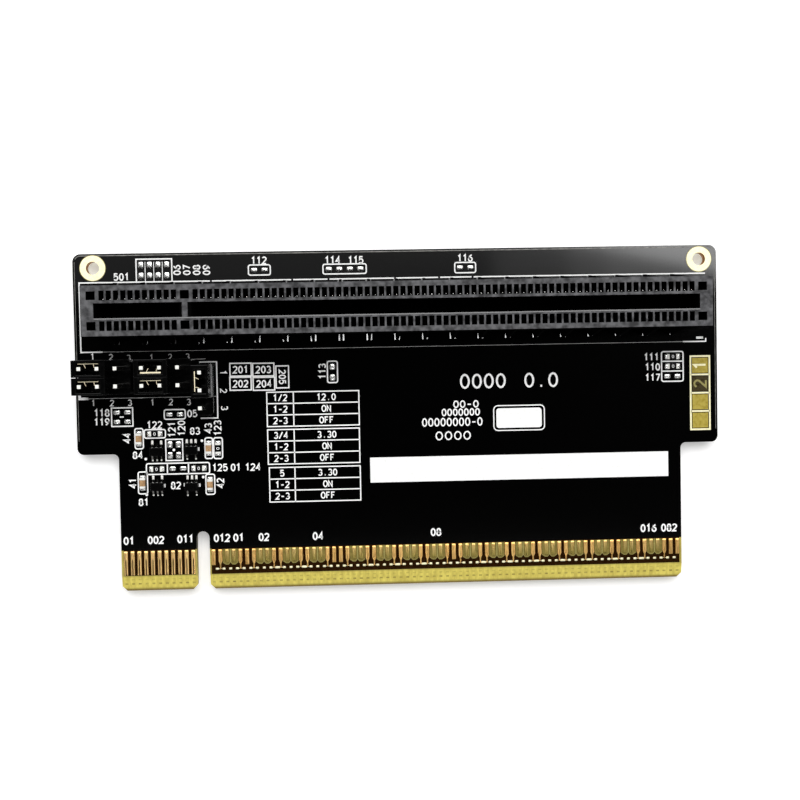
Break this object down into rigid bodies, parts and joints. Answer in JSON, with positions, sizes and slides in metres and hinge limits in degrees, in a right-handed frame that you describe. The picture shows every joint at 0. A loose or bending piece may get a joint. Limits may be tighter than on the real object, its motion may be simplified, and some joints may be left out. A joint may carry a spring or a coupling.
{
  "type": "expansion slot riser board",
  "caption": "Flat riser board: gold edge fingers with a key notch below, a long keyed card slot standing on its face, jumper headers with caps and small chips.",
  "frame": {"origin": "middle of the key notch on the leading edge, at the rear face of the board", "axes": "+X along the edge fingers, +Y from the leading edge to the slot, +Z out of the component side"},
  "size_m": [0.096, 0.0502, 0.0141],
  "materials": {
    "solder_mask": "glossy black coating on glass-epoxy board",
    "gold_plate": "smooth gold plating",
    "slot_plastic": "fine moulded black plastic",
    "jumper_plastic": "moulded black plastic",
    "pin_plate": "bright plated pin",
    "solder_tin": "bright solder and tinned metal",
    "capacitor_ceramic": "tan ceramic",
    "resistor_glaze": "black glazed film",
    "chip_resin": "dark moulded resin"
  },
  "bodies": {
    "root": {"circuit_board": "solder_mask", "edge_contacts_front": "gold_plate", "edge_contacts_rear": "gold_plate", "slot_housing": "slot_plastic", "slot_contacts_upper": "gold_plate", "slot_contacts_lower": "gold_plate", "slot_solder_tails": "solder_tin", "header_solder_tails": "solder_tin", "jumper_header_left_base": "jumper_plastic", "jumper_header_left_pins": "pin_plate", "jumper_header_middle_base": "jumper_plastic", "jumper_header_middle_pins": "pin_plate", "jumper_header_right_base": "jumper_plastic", "jumper_header_right_pins": "pin_plate", "jumper_cap_1": "jumper_plastic", "jumper_clip_1": "gold_plate", "jumper_cap_2": "jumper_plastic", "jumper_clip_2": "gold_plate", "jumper_cap_3": "jumper_plastic", "jumper_clip_3": "gold_plate", "jumper_cap_4": "jumper_plastic", "jumper_clip_4": "gold_plate", "jumper_cap_5": "jumper_plastic", "jumper_clip_5": "gold_plate", "capacitor_1_body": "capacitor_ceramic", "capacitor_1_ends": "solder_tin", "capacitor_2_body": "capacitor_ceramic", "capacitor_2_ends": "solder_tin", "capacitor_3_body": "capacitor_ceramic", "capacitor_3_ends": "solder_tin", "capacitor_4_body": "capacitor_ceramic", "capacitor_4_ends": "solder_tin", "resistor_1_body": "resistor_glaze", "resistor_1_ends": "solder_tin", "resistor_2_body": "resistor_glaze", "resistor_2_ends": "solder_tin", "resistor_3_body": "resistor_glaze", "resistor_3_ends": "solder_tin", "resistor_4_body": "resistor_glaze", "resistor_4_ends": "solder_tin", "resistor_5_body": "resistor_glaze", "resistor_5_ends": "solder_tin", "resistor_6_body": "resistor_glaze", "resistor_6_ends": "solder_tin", "logic_chip_1_body": "chip_resin", "logic_chip_1_leads": "solder_tin", "logic_chip_2_body": "chip_resin", "logic_chip_2_leads": "solder_tin", "logic_chip_3_body": "chip_resin", "logic_chip_3_leads": "solder_tin", "logic_chip_4_body": "chip_resin", "logic_chip_4_leads": "solder_tin"}
  },
  "joints": []
}
